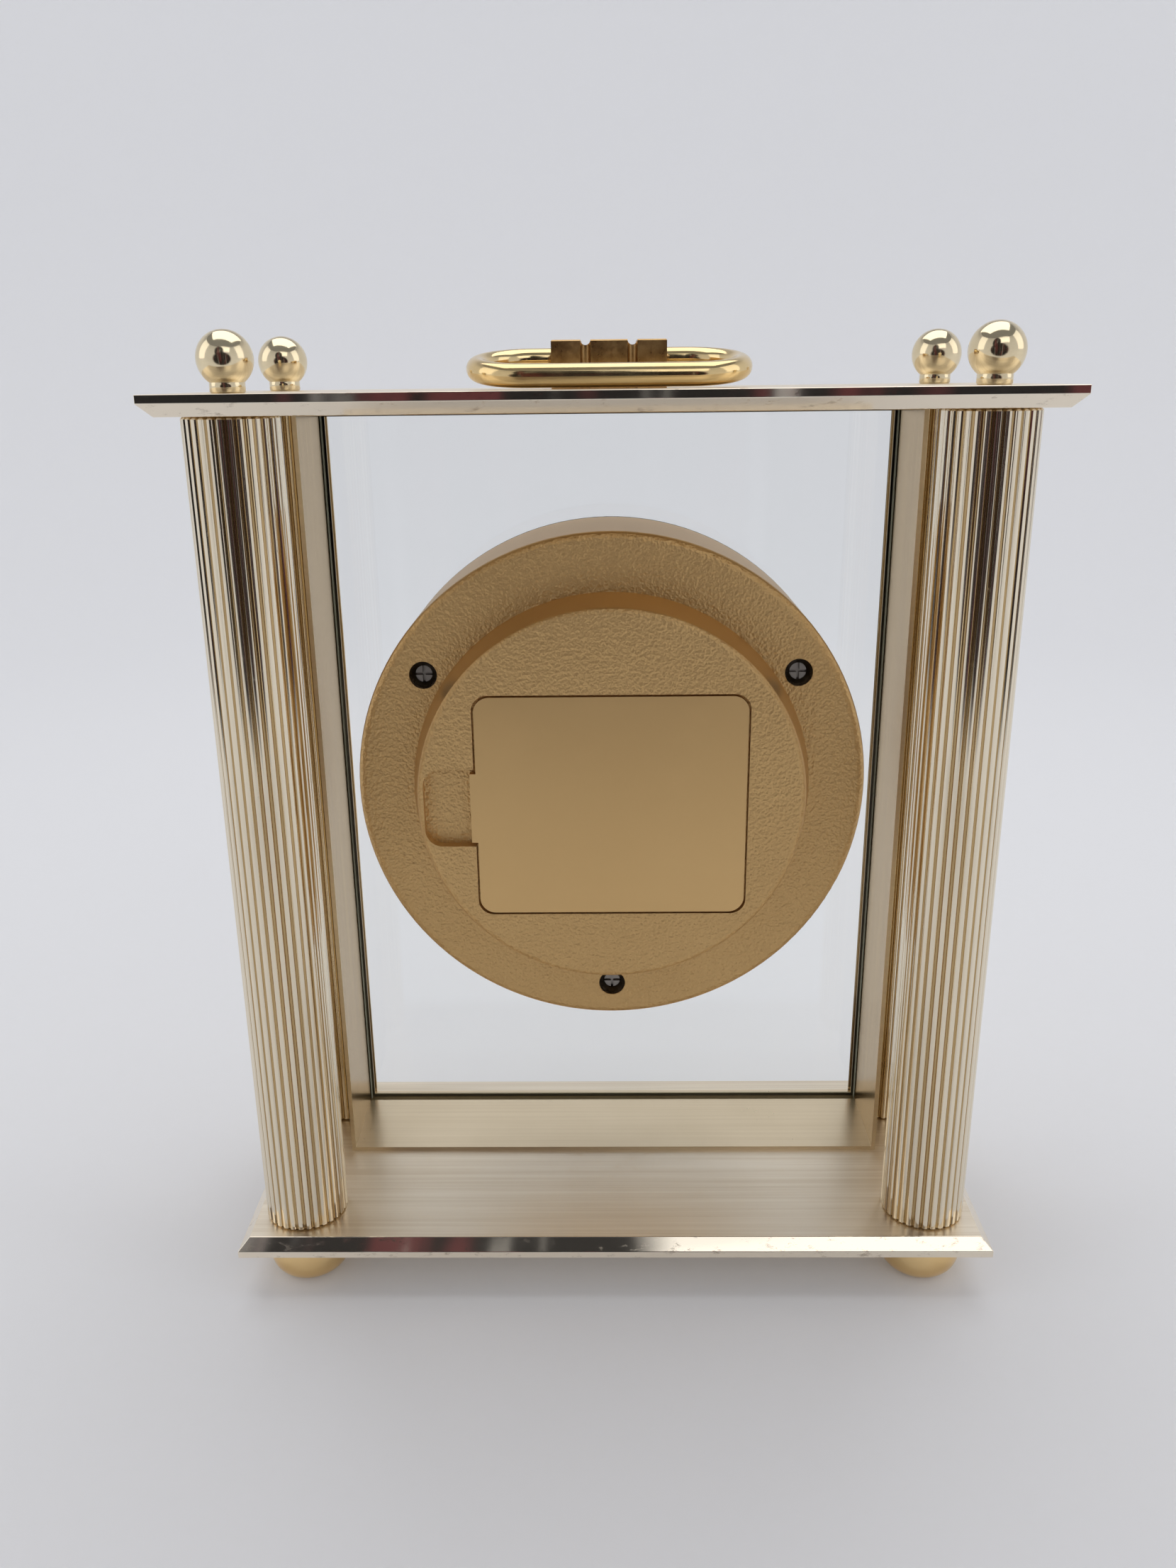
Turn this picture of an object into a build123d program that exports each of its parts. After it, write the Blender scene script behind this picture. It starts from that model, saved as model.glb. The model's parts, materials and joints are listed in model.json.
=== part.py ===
"""Mantel clock: four fluted columns between two chamfered plates, a framed glass pane with a quartz clock.

Millimetres, +Z up. The feet stand on Z = 0, X is the clock's width and the dial faces -Y.
The origin is under the middle of the clock.
"""
import math
import os

from build123d import *

# Plates, columns, feet and finials
plate_width = 180.0
plate_depth = 74.0
plate_thickness = 4.16
plate_bevel_height = 2.48
plate_bevel_inset = 2.41
column_length = 188.83
column_radius = 9.77
column_edge_x = 13.97  # plate edge to column axis
column_edge_y = 13.91
rib_count = 31
rib_land = 0.55  # flat top of a rib as a part of the pitch
flute_depth = 0.42
column_edge = 0.6  # bevel that scallops the ends of the ribs
rod_radius = 2.0
rod_gap = 0.3  # clearance of the tie rods in columns and plates
rod_end = 6.0  # thread held by a foot or a finial
foot_height = 12.0
foot_radius = 10.0
foot_seat_radius = 8.2
foot_floor_radius = 5.0
ball_radius = 5.6
ball_height = 6.47  # ball centre above the plate
neck_radius = 3.5
neck_height = 2.1

# Carrying handle
block_width = 24.2
block_height = 9.7
block_depth = 16.0
groove_radius = 1.05
groove_x = 4.92
handle_wire = 2.35  # radius of the round bar
handle_reach = 22.0  # pivot to the middle of the far bar
handle_straight = 16.2  # half length of the straight bars
handle_pivot_height = 5.9
handle_pin = 5.0  # bar inside the block
handle_gap = 0.3  # folded bar above the plate
pivot_gap = 0.08
block_screw_x = 6.5
block_screw_y = 4.0
block_screw_radius = 1.5
block_screw_head = 2.8
block_screw_head_depth = 1.4
block_screw_length = 6.0

# Brass glazing frame and glass
frame_wall = 1.0
frame_bite = 3.24  # frame side inside the line of the column's tangent
frame_lip = 0.8
frame_back = 0.0  # the frame's open rear edge
rebate_gap = 0.2
glass_rear = -22.5
glass_thickness = 3.0
glass_gap = 0.2
seal_thickness = 0.5
glass_hole = 54.2

# Clock case behind the glass
dial_rise = 10.025  # dial centre above the middle of the columns
gasket_rear = 1.0
case_radius = 58.9
case_wall = 1.8
drum_depth = 31.0  # glass to the drum's rear face
drum_edge = 2.0
disc_foot = 45.8
disc_radius = 43.7
disc_edge = 1.6
shell = 2.0
boss_radius = 3.9
boss_length = 5.4
case_screw_circle = 50.4
case_screw_angles = (32.7, 147.3, 270.0)
funnel_radius = 3.2
funnel_depth = 1.6
screw_head = 1.9
screw_head_gap = 0.05
screw_head_depth = 1.4
screw_radius = 1.2
screw_length = 18.0
slot_width = 0.6
slot_depth = 0.7

# Battery door and its finger recess
door_width = 60.8
door_height = 51.4
door_drop = 1.4  # door centre below the dial centre
door_corner = 3.5
door_thickness = 1.8
door_gap = 0.45
ledge = 1.2
skirt_gap = 0.2
skirt_wall = 1.0
skirt_depth = 1.8
tab_width = 1.4
tab_low = -9.7
tab_high = 6.7
recess_edge = 42.4
recess_low = -10.6
recess_high = 7.8
recess_depth = 2.4
recess_corner = 4.0

# Dial side
gasket_front = 0.3
carrier_thickness = 2.2
carrier_radius = 57.6
carrier_boss = 3.2
dial_thickness = 0.8
dial_radius = 54.6
spacer_inner = 52.0
crystal_thickness = 1.4
lip_thickness = 1.0
bezel_opening = 51.5
bezel_gap = 0.1
bezel_edge = 1.6
bezel_screw_circle = 56.15
bezel_screw_radius = 0.8
bezel_screw_head = 1.15
bezel_screw_length = 6.0
marker_length = 6.0
marker_width = 1.6
marker_thickness = 0.3
marker_circle = 44.0
hour_hand_length = 29.0
minute_hand_length = 42.0
second_hand_length = 44.0
hand_thickness = 0.5
second_hand_thickness = 0.4
hand_spacing = 0.3
crystal_gap = 0.8  # crystal to the second hand
nut_flats = 10.0
nut_thickness = 1.5

# Movement
movement_width = 58.0
movement_height = 54.0
movement_plate = 1.3
movement_wall = 1.2
movement_space = 10.5  # room between its plates
bush_radius = 4.0
bush_length = 4.2
hour_pipe_radius = 2.4
minute_pipe_radius = 1.5
second_arbor_radius = 0.75
running_gap = 0.1
arbor_radius = 0.5
arbor_gap = 0.05
arbor_end = 0.7
post_radius = 1.0
post_gap = 0.08
wheel_thickness = 0.7
motion_distance = 10.0
third_distance = 11.2
third_angle = 160.0
step_distance = 11.4
step_angle = 30.0
rotor_distance = 9.6
setting_distance = 10.5
setting_angle = 225.0
setting_stem = 1.2
knob_radius = 7.0
knob_length = 9.0
knob_flutes = 24
magnet_radius = 2.5
movement_screw_x = 26.5
movement_screw_low = -24.5
movement_screw_head = 1.7
movement_screw_gap = 1.5  # screw heads below the battery cradle

# Battery: a C cell
cell_radius = 13.1
cell_length = 50.0
cell_height = 9.3  # cell axis above the dial centre
cell_gap = 0.35
cradle_floor = 0.8
cradle_wall = 1.15
contact_room = 2.0
contact_sheet = 0.4
nub_radius = 3.0
nub_length = 1.6
door_clearance = 1.55  # cell to the inside of the door plate

# Places that follow from the sizes above
column_x = plate_width / 2 - column_edge_x
column_y = plate_depth / 2 - column_edge_y
base_top = foot_height + plate_thickness
top_under = base_top + column_length
top_face = top_under + plate_thickness
dial_z = (base_top + top_under) / 2 + dial_rise
frame_half = column_x - column_radius + frame_bite
frame_inner = frame_half - frame_wall
glass_front = glass_rear - glass_thickness
frame_front = glass_front - seal_thickness - frame_wall
drum_face = glass_rear + drum_depth
carrier_rear = glass_front - gasket_front
carrier_front = carrier_rear - carrier_thickness
dial_front = carrier_front - dial_thickness
hour_hand_front = dial_front - nut_thickness - hand_spacing - hand_thickness
minute_hand_front = hour_hand_front - hand_spacing - hand_thickness
second_hand_front = minute_hand_front - hand_spacing - second_hand_thickness
crystal_rear = second_hand_front - crystal_gap
crystal_front = crystal_rear - crystal_thickness
bezel_front = crystal_front - lip_thickness
train_front = carrier_rear + movement_plate
train_rear = train_front + movement_space
movement_rear = train_rear + movement_plate
cell_y = movement_rear + cradle_floor + cell_gap + cell_radius
ledge_face = cell_y + cell_radius + door_clearance
disc_face = ledge_face + door_thickness
pivot_z = top_face + handle_pivot_height
fold_angle = math.degrees(math.asin((handle_pivot_height - handle_wire - handle_gap) / handle_reach))
cradle_low = cell_height - cell_radius - cell_gap - cradle_wall
movement_screw_high = cradle_low - movement_screw_gap - movement_screw_head
hole_half_x = door_width / 2 + door_gap
hole_half_z = door_height / 2 + door_gap


def polar(radius, angle):
    """A point at an angle measured from +X towards +Z."""
    return radius * math.cos(math.radians(angle)), radius * math.sin(math.radians(angle))


def block(x0, x1, y0, y1, z0, z1):
    return Pos((x0 + x1) / 2, (y0 + y1) / 2, (z0 + z1) / 2) * Box(x1 - x0, y1 - y0, z1 - z0)


def rod_z(radius, z0, z1, x=0.0, y=0.0):
    return Pos(x, y, (z0 + z1) / 2) * Cylinder(radius, z1 - z0)


def rod_y(radius, y0, y1, x=0.0, z=0.0):
    return Pos(x, (y0 + y1) / 2, z) * Rot(90, 0, 0) * Cylinder(radius, y1 - y0)


def ring_y(outer, inner, y0, y1, x=0.0, z=0.0):
    return rod_y(outer, y0, y1, x, z) - rod_y(inner, y0 - 1, y1 + 1, x, z)


def slab_y(outline, y0, y1, x=0.0, z=0.0):
    """A flat outline drawn in X and Z, as thick as y0 to y1."""
    return Pos(x, y1, z) * Rot(90, 0, 0) * extrude(outline, y1 - y0)


def turned_y(points, rounds):
    """A ring or disc turned about the Y line through the origin from (radius, y) points."""
    face = make_face(Polyline(*points, close=True))
    for place, radius in rounds:
        corner = face.vertices().sort_by_distance(Vector(*place, 0))[0]
        face = fillet(corner, radius)
    return revolve(face, Axis.Y)


def lift(shape):
    """From the dial's own centre to its height in the clock."""
    return Pos(0, 0, dial_z) * shape


# --- stand: plates, columns, feet, finials ---


def corners():
    return [(sx * column_x, sy * column_y) for sx in (-1, 1) for sy in (-1, 1)]


def bevelled_plate(z0, bevel_up):
    """The plate's bevel is a frustum, so the two insets can differ."""
    straight = plate_thickness - plate_bevel_height
    low = z0 if bevel_up else z0 + plate_bevel_height
    body = block(-plate_width / 2, plate_width / 2, -plate_depth / 2, plate_depth / 2, low, low + straight)
    wide = Pos(0, 0, low + straight if bevel_up else low) * Rectangle(plate_width, plate_depth)
    small = Pos(0, 0, z0 + plate_thickness if bevel_up else z0)
    small = small * Rectangle(plate_width - 2 * plate_bevel_inset, plate_depth - 2 * plate_bevel_inset)
    body += loft([wide, small])
    for x, y in corners():
        body -= rod_z(rod_radius + rod_gap, z0 - 1, z0 + plate_thickness + 1, x, y)
    return body


def base_plate():
    return bevelled_plate(foot_height, True)


def top_plate():
    body = bevelled_plate(top_under, False)
    for side in (-1, 1):
        x = side * block_screw_x
        body -= rod_z(block_screw_radius + 0.1, top_under - 1, top_face + 1, x, block_screw_y)
        sink = top_under + block_screw_head_depth
        body -= rod_z(block_screw_head + 0.1, top_under - 1, sink, x, block_screw_y)
    return body


def fluted_bar():
    """The ribs' flat tops and the flutes between them, as one closed outline."""
    pitch = 360.0 / rib_count
    points = []
    for rib in range(rib_count):
        middle = rib * pitch
        half = pitch * rib_land / 2
        slope = pitch * (1 - rib_land) * 0.2
        points.append(polar(column_radius, middle - half))
        points.append(polar(column_radius, middle + half))
        points.append(polar(column_radius - flute_depth, middle + half + slope))
        points.append(polar(column_radius - flute_depth, middle + pitch - half - slope))
    return make_face(Polyline(*points, close=True))


def column(x, y):
    ends = chamfer(rod_z(column_radius, 0, column_length).edges().filter_by(GeomType.CIRCLE), column_edge)
    bar = Pos(x, y, base_top) * (extrude(fluted_bar(), column_length) & ends)
    bar -= rod_z(rod_radius + rod_gap, base_top - 1, top_under + 1, x, y)
    if y < 0:
        inner = frame_half + rebate_gap
        near, far = sorted((math.copysign(inner, x), 0.0))
        bar -= block(near, far, frame_front - rebate_gap, 1.0, base_top - 1, top_under + 1)
    return bar


def tie_rods():
    low = foot_height - rod_end
    high = top_face + rod_end
    return [rod_z(rod_radius, low, high, x, y) for x, y in corners()]


def foot(x, y):
    """A bun: flat seat on top, round sides, a small flat floor."""
    seat = (foot_seat_radius, foot_height)
    widest = (foot_radius, foot_height * 0.52)
    floor = (foot_floor_radius, 0.0)
    side = ThreePointArc(seat, widest, floor)
    lines = Polyline(floor, (0, 0), (0, foot_height), seat)
    body = revolve(Rot(90, 0, 0) * make_face([side, lines]), Axis.Z)
    body = Pos(x, y, 0) * body
    return body - rod_z(rod_radius, foot_height - rod_end, foot_height + 1, x, y)


def finial(x, y):
    ball = Pos(x, y, top_face + ball_height) * Sphere(ball_radius)
    body = ball + rod_z(neck_radius, top_face, top_face + neck_height, x, y)
    return body - rod_z(rod_radius, top_face - 1, top_face + rod_end, x, y)


# --- carrying handle ---


def handle_block():
    half = block_width / 2
    top = top_face + block_height
    body = block(-half, half, -block_depth / 2, block_depth / 2, top_face, top)
    body = chamfer(body.faces().sort_by(Axis.Z)[-1].edges(), 0.25)
    bore = handle_wire + pivot_gap
    for side in (-1, 1):
        middle = side * (half - handle_pin / 2)
        body -= Pos(middle, 0, pivot_z) * Rot(0, 90, 0) * Cylinder(bore, handle_pin + 0.1)
        mouth = side * (half + 0.5)
        body -= Pos(mouth, 0, pivot_z) * Rot(0, 90, 0) * Cylinder(bore, 2.0)
        x = side * groove_x
        for y in (-block_depth / 2, block_depth / 2):
            body -= rod_z(groove_radius, top_face - 1, top + 1, x, y)
        body -= rod_y(groove_radius, -block_depth, block_depth, x, top)
        thread_top = top_face + block_screw_thread()
        body -= rod_z(block_screw_radius, top_face - 1, thread_top, side * block_screw_x, block_screw_y)
    return body


def block_screw_thread():
    return block_screw_length - plate_thickness + block_screw_head_depth


def handle_screws():
    screws = []
    for side in (-1, 1):
        x = side * block_screw_x
        head = rod_z(block_screw_head, top_under, top_under + block_screw_head_depth, x, block_screw_y)
        shank = rod_z(block_screw_radius, top_under, top_face + block_screw_thread() - 0.1, x, block_screw_y)
        slot = block(x - 3, x + 3, block_screw_y - 0.4, block_screw_y + 0.4, top_under - 1, top_under + 0.7)
        screws.append(head + shank - slot)
    return screws


def handle_loop():
    """A round bar bent to a flat oval, drawn flat and then folded down to its rest."""
    bend = handle_reach / 2
    inside = block_width / 2 - handle_pin
    end = handle_straight
    right = Line((inside, 0), (end, 0))
    turn = ThreePointArc((end, 0), (end + bend, bend), (end, handle_reach))
    far = Line((end, handle_reach), (-end, handle_reach))
    back = ThreePointArc((-end, handle_reach), (-end - bend, bend), (-end, 0))
    left = Line((-end, 0), (-inside, 0))
    path = Wire([right, turn, far, back, left])
    section = Plane(origin=(inside, 0, 0), z_dir=(1, 0, 0)) * Circle(handle_wire)
    bar = sweep(section, path=path)
    return Pos(0, 0, pivot_z) * Rot(-fold_angle, 0, 0) * bar


# --- glazing frame and glass ---


def glazing_frame():
    half = frame_half
    inner = frame_inner
    body = block(-half, half, frame_front, frame_back, base_top, top_under)
    low = base_top + frame_wall
    high = top_under - frame_wall
    body -= block(-inner, inner, frame_front + frame_wall, frame_back + 1, low, high)
    reach = inner - frame_lip
    return body - block(-reach, reach, frame_front - 1, frame_back, low + frame_lip, high - frame_lip)


def pane(y0, y1, top_gap):
    half = frame_inner - glass_gap
    return block(-half, half, y0, y1, base_top + frame_wall, top_under - frame_wall - top_gap)


def glass_panel():
    hole = rod_y(glass_hole, glass_front - 1, glass_rear + 1, 0, dial_z)
    return pane(glass_front, glass_rear, glass_gap) - hole


def glass_seal():
    inner = frame_inner - frame_lip
    opening = block(-inner, inner, frame_front - 1, glass_rear, base_top + frame_wall + frame_lip,
                    top_under - frame_wall - frame_lip)
    return pane(glass_front - seal_thickness, glass_front, glass_gap) - opening


# --- clock case ---


def door_outline(grow):
    return RectangleRounded(door_width + 2 * grow, door_height + 2 * grow, door_corner + min(grow, 0.0))


def movement_case():
    rim = glass_rear + gasket_rear
    inner_face = disc_face - shell
    bore = case_radius - case_wall
    outline = [
        (0, disc_face), (disc_radius, disc_face), (disc_foot, drum_face), (case_radius, drum_face),
        (case_radius, rim), (bore, rim), (bore, drum_face - shell), (disc_foot - shell, drum_face - shell),
        (disc_radius - shell, inner_face), (0, inner_face),
    ]
    rounds = [((disc_radius, disc_face), disc_edge), ((case_radius, drum_face), drum_edge)]
    body = turned_y(outline, rounds)
    pad = block(hole_half_x - 1, recess_edge + 1, disc_face - recess_depth - 1.5, inner_face + 0.2,
                recess_low - 1.5, recess_high + 1.5)
    body += pad & rod_y(disc_radius - 0.5, 0, disc_face)
    body += Pos(0, 0, -door_drop) * slab_y(door_outline(door_gap + 2.0), ledge_face - 1.2, ledge_face)
    body -= Pos(0, 0, -door_drop) * slab_y(door_outline(door_gap), ledge_face, disc_face + 1)
    body -= Pos(0, 0, -door_drop) * slab_y(door_outline(-ledge + door_gap), ledge_face - 5, ledge_face + 1)
    body -= finger_recess()
    for angle in case_screw_angles:
        x, z = polar(case_screw_circle, angle)
        seat = drum_face - funnel_depth
        under = seat - screw_head_depth - 0.2
        body += rod_y(boss_radius, drum_face - shell - boss_length, drum_face - shell, x, z)
        cone = Cone(screw_head + screw_head_gap, funnel_radius, funnel_depth)
        body -= Pos(x, drum_face - funnel_depth / 2, z) * Rot(-90, 0, 0) * cone
        body -= rod_y(screw_head + screw_head_gap, under, drum_face, x, z)
        body -= rod_y(screw_radius + 0.1, drum_face - 20, drum_face, x, z)
    return lift(body)


def finger_recess():
    middle = (hole_half_x - 1 + recess_edge) / 2
    width = recess_edge - hole_half_x + 1
    height = recess_high - recess_low
    pocket = slab_y(Rectangle(width, height), disc_face - recess_depth, disc_face + 1)
    pocket = fillet(pocket.edges().filter_by(Axis.Y).sort_by(Axis.X)[-2:], recess_corner)
    return Pos(middle, 0, (recess_low + recess_high) / 2) * pocket


def battery_door():
    body = slab_y(door_outline(0.0), ledge_face, disc_face)
    inset = door_gap - ledge - skirt_gap
    skirt = slab_y(door_outline(inset), ledge_face - skirt_depth, ledge_face)
    skirt -= slab_y(door_outline(inset - skirt_wall), ledge_face - skirt_depth - 1, ledge_face + 1)
    body += skirt
    half = door_width / 2
    low = tab_low + door_drop
    body += block(half - 2, half + tab_width, ledge_face, disc_face, low, tab_high + door_drop)
    return lift(Pos(0, 0, -door_drop) * body)


def case_gasket():
    rim = glass_rear + gasket_rear
    return lift(ring_y(case_radius, case_radius - case_wall, glass_rear, rim))


def case_screws():
    head_top = drum_face - funnel_depth
    under = head_top - screw_head_depth - 0.2
    screws = []
    for angle in case_screw_angles:
        x, z = polar(case_screw_circle, angle)
        head = rod_y(screw_head, under, under + screw_head_depth, x, z)
        shank = rod_y(screw_radius, under - screw_length, under, x, z)
        top = under + screw_head_depth
        head -= block(x - 3, x + 3, top - slot_depth, top + 1, z - slot_width / 2, z + slot_width / 2)
        head -= block(x - slot_width / 2, x + slot_width / 2, top - slot_depth, top + 1, z - 3, z + 3)
        screws.append(lift(head + shank))
    return screws


# --- dial side ---


def dial_carrier():
    body = rod_y(carrier_radius, carrier_front, carrier_rear)
    end = drum_face - shell - boss_length
    body -= rod_y(bush_radius + running_gap, carrier_front - 1, carrier_rear + 1)
    for angle in case_screw_angles:
        x, z = polar(case_screw_circle, angle)
        body += rod_y(carrier_boss, carrier_rear, end, x, z)
        low = drum_face - funnel_depth - screw_head_depth - screw_length - 1
        body -= rod_y(screw_radius, low, end + 1, x, z)
    for x, z in bezel_screw_places():
        body -= rod_y(bezel_screw_head, carrier_rear - 1.2, carrier_rear + 1, x, z)
        body -= rod_y(bezel_screw_radius, carrier_front - 1, carrier_rear + 1, x, z)
    return lift(body)


def bezel_screw_places():
    return [polar(bezel_screw_circle, angle) for angle in (90.0, 210.0, 330.0)]


def bezel_screws():
    screws = []
    for x, z in bezel_screw_places():
        head = rod_y(bezel_screw_head, carrier_rear - 1.2, carrier_rear, x, z)
        shank = rod_y(bezel_screw_radius, carrier_rear - bezel_screw_length, carrier_rear - 1.2, x, z)
        screws.append(lift(head + shank))
    return screws


def bezel():
    wall = dial_radius + bezel_gap
    outline = [
        (carrier_radius, carrier_front), (carrier_radius, bezel_front), (bezel_opening, bezel_front),
        (bezel_opening, crystal_front), (wall, crystal_front), (wall, carrier_front),
    ]
    body = turned_y(outline, [((carrier_radius, bezel_front), bezel_edge)])
    for x, z in bezel_screw_places():
        body -= rod_y(bezel_screw_radius, carrier_rear - bezel_screw_length, carrier_front + 1, x, z)
    return lift(body)


def front_gasket():
    return lift(ring_y(carrier_radius, glass_hole + 0.2, glass_front - gasket_front, glass_front))


def crystal():
    return lift(rod_y(dial_radius, crystal_front, crystal_rear))


def spacer_ring():
    return lift(ring_y(dial_radius, spacer_inner, crystal_rear, dial_front))


def dial_plate():
    return lift(ring_y(dial_radius, bush_radius + running_gap, dial_front, carrier_front))


def hour_markers():
    markers = []
    for hour in range(12):
        bar = block(-marker_width / 2, marker_width / 2, dial_front - marker_thickness, dial_front,
                    marker_circle - marker_length / 2, marker_circle + marker_length / 2)
        markers.append(lift(Rot(0, hour * 30, 0) * bar))
    return markers


def dial_nut():
    hexagon = RegularPolygon(nut_flats / 2, 6, major_radius=False)
    body = slab_y(hexagon, dial_front - nut_thickness, dial_front)
    return lift(body - rod_y(bush_radius, dial_front - 5, dial_front + 1))


def hand(length, tail, width, hub, bore, y0, y1, angle):
    """A tapered hand that points at twelve before it is turned to its place."""
    outline = make_face(Polyline((-width / 2, -tail), (width / 2, -tail), (width * 0.5, length * 0.7),
                                 (0, length), (-width * 0.5, length * 0.7), close=True))
    body = slab_y(outline, y0, y1) + rod_y(hub, y0, y1)
    body -= rod_y(bore, y0 - 1, y1 + 1)
    return lift(Rot(0, angle, 0) * body)


def hour_hand():
    return hand(hour_hand_length, 7.0, 3.6, 4.4, hour_pipe_radius, hour_hand_front,
                hour_hand_front + hand_thickness, 304.0)


def minute_hand():
    return hand(minute_hand_length, 8.0, 2.6, 3.4, minute_pipe_radius, minute_hand_front,
                minute_hand_front + hand_thickness, 48.0)


def second_hand():
    return hand(second_hand_length, 14.0, 0.9, 2.2, second_arbor_radius, second_hand_front,
                second_hand_front + second_hand_thickness, 180.0)


# --- movement: wheels, then plates and electrics ---

motion_place = (0.0, -motion_distance)
third_place = polar(third_distance, third_angle)
step_place = polar(step_distance, step_angle)
rotor_place = (step_place[0] + rotor_distance, step_place[1])
setting_place = tuple(a + b for a, b in zip(motion_place, polar(setting_distance, setting_angle)))

third_pinion = 8
second_pinion = 8
step_pinion = 10
rotor_pinion = 10
minute_pinion = 10
motion_pinion = 8
setting_pinion = 12
minute_teeth = 64
third_teeth = 60
second_teeth = 60
step_teeth = 50
motion_teeth = 30
hour_teeth = 32


def module_of(distance, teeth, mate):
    return 2 * distance / (teeth + mate)


def gear(teeth, module, y0, y1, place, phase):
    """A toothed disc; a tooth stands at the phase angle. Slim, short teeth leave backlash."""
    pitch = 360.0 / teeth
    middle = teeth * module / 2
    root = middle - 1.05 * module
    tip = middle + 0.6 * module
    points = []
    for tooth in range(teeth):
        at = phase + tooth * pitch
        points.append(polar(root, at - 0.28 * pitch))
        points.append(polar(tip, at - 0.10 * pitch))
        points.append(polar(tip, at + 0.10 * pitch))
        points.append(polar(root, at + 0.28 * pitch))
    return slab_y(make_face(Polyline(*points, close=True)), y0, y1, *place)


def mate_phase(teeth, phase, place, mate, mate_place):
    """The phase that puts the mate's gap where this gear's tooth is."""
    line = math.degrees(math.atan2(mate_place[1] - place[1], mate_place[0] - place[0]))
    return line + 180 + 180.0 / mate - (phase - line) * teeth / mate


hour_layer = train_front + 0.2
motion_layer = train_front + 1.6
minute_layer = train_front + 3.0
third_layer = train_front + 4.7
second_layer = train_front + 6.9
step_layer = train_front + 8.6
centre = (0.0, 0.0)
third_low = module_of(third_distance, third_pinion, minute_teeth)
third_high = module_of(third_distance, third_teeth, second_pinion)
step_low = module_of(step_distance, step_pinion, second_teeth)
step_high = module_of(rotor_distance, step_teeth, rotor_pinion)
motion_low = module_of(motion_distance, motion_pinion, hour_teeth)
motion_high = module_of(motion_distance, motion_teeth, minute_pinion)


def arbor(place):
    return rod_y(arbor_radius, train_front - arbor_end, train_rear + arbor_end, *place)


def hour_wheel():
    phase = mate_phase(motion_pinion, 90.0, motion_place, hour_teeth, centre)
    body = gear(hour_teeth, motion_low, hour_layer, hour_layer + 1.0, centre, phase)
    body += rod_y(hour_pipe_radius, hour_hand_front, hour_layer + 0.5)
    return lift(body - rod_y(minute_pipe_radius + running_gap, hour_hand_front - 1, hour_layer + 2))


def minute_wheel():
    phase = mate_phase(third_pinion, 0.0, third_place, minute_teeth, centre)
    body = gear(minute_teeth, third_low, minute_layer, minute_layer + wheel_thickness, centre, phase)
    pinion = mate_phase(motion_teeth, 90.0, motion_place, minute_pinion, centre)
    body += gear(minute_pinion, motion_high, motion_layer, minute_layer, centre, pinion)
    body += rod_y(minute_pipe_radius, minute_hand_front, minute_layer)
    return lift(body - rod_y(second_arbor_radius + running_gap, minute_hand_front - 1, minute_layer + 2))


def motion_wheel():
    body = gear(motion_pinion, motion_low, hour_layer, motion_layer + 0.2, motion_place, 90.0)
    body += gear(motion_teeth, motion_high, motion_layer, motion_layer + 1.0, motion_place, 90.0)
    return lift(body - rod_y(post_radius + post_gap, hour_layer - 1, motion_layer + 2, *motion_place))


def third_wheel():
    body = gear(third_pinion, third_low, minute_layer - 0.2, minute_layer + 1.0, third_place, 0.0)
    rear = third_layer + wheel_thickness
    body += gear(third_teeth, third_high, third_layer, rear, third_place, third_angle + 180)
    return lift(body + arbor(third_place))


def second_wheel():
    phase = mate_phase(third_teeth, third_angle + 180, third_place, second_pinion, centre)
    body = gear(second_pinion, third_high, third_layer - 0.2, third_layer + 1.0, centre, phase)
    body += gear(second_teeth, step_low, second_layer, second_layer + wheel_thickness, centre, step_angle)
    return lift(body + rod_y(second_arbor_radius, second_hand_front, train_rear + arbor_end))


def step_wheel():
    phase = mate_phase(second_teeth, step_angle, centre, step_pinion, step_place)
    body = gear(step_pinion, step_low, second_layer - 0.2, second_layer + 0.9, step_place, phase)
    body += gear(step_teeth, step_high, step_layer, step_layer + wheel_thickness, step_place, 0.0)
    return lift(body + arbor(step_place))


def rotor():
    phase = mate_phase(step_teeth, 0.0, step_place, rotor_pinion, rotor_place)
    body = gear(rotor_pinion, step_high, step_layer - 0.2, step_layer + 0.9, rotor_place, phase)
    body += rod_y(magnet_radius, second_layer - 1.7, second_layer + 0.2, *rotor_place)
    return lift(body + arbor(rotor_place))


def setting_arbor():
    phase = mate_phase(motion_teeth, 90.0, motion_place, setting_pinion, setting_place)
    body = gear(setting_pinion, motion_high, motion_layer - 0.1, motion_layer + 1.1, setting_place, phase)
    rear = knob_front() + knob_length - 2
    return lift(body + rod_y(setting_stem, train_front - arbor_end, rear, *setting_place))


def knob_front():
    return movement_rear + 8.0


def setting_knob():
    y0 = knob_front()
    body = rod_y(knob_radius, y0, y0 + knob_length, *setting_place)
    body = chamfer(body.edges(), 0.6)
    for flute in range(knob_flutes):
        x, z = polar(knob_radius + 0.25, flute * 360.0 / knob_flutes)
        body -= rod_y(0.6, y0 - 1, y0 + knob_length + 1, setting_place[0] + x, setting_place[1] + z)
    return lift(body - rod_y(setting_stem, y0 - 1, y0 + knob_length - 2, *setting_place))


stator_front = second_layer - 1.2
stator_rear = second_layer - 0.3
coil_z = 21.0
core_half = 1.6
core_front = stator_front - 1.0
leg_left = 3.0
leg_right = rotor_place[0] + 6.4
leg_width = 4.0
screw_corners = [(side * movement_screw_x, height) for height in (movement_screw_low, movement_screw_high)
                 for side in (-1, 1)]
stator_posts = [(leg_left + 1.5, 12.0), (leg_right - 1.6, 12.0)]
board_posts = [(7.0, -11.0), (20.0, -23.0)]
board_rear = train_rear - 1.2


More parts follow.
